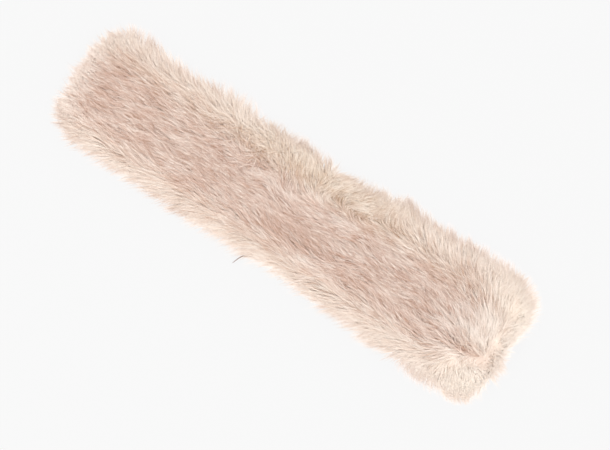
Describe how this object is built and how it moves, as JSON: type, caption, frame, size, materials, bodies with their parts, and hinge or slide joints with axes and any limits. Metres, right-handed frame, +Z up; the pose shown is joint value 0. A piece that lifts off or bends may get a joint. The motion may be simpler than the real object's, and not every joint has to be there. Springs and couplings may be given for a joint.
{
  "type": "fur collar wrap",
  "caption": "Neck-length strip of natural fur laid flat, fur side up: two pelts sewn edge to edge, with a soft pile that hangs past the leather all round.",
  "frame": {"origin": "on the surface the wrap lies on, under the middle of its box", "axes": "+X along the wrap towards the wider pelt, +Y across it towards the far edge, +Z up out of the fur"},
  "size_m": [0.63, 0.168, 0.022],
  "materials": {
    "fur": "soft natural fur, pinkish taupe in the middle with cream tips and a cream edge",
    "leather": "pale dressed suede on the flesh side",
    "thread": "dark brown waxed sewing thread"
  },
  "bodies": {
    "root": {"fur_left": "fur", "fur_right": "fur", "pelt_left": "leather", "pelt_right": "leather"}
  },
  "joints": []
}
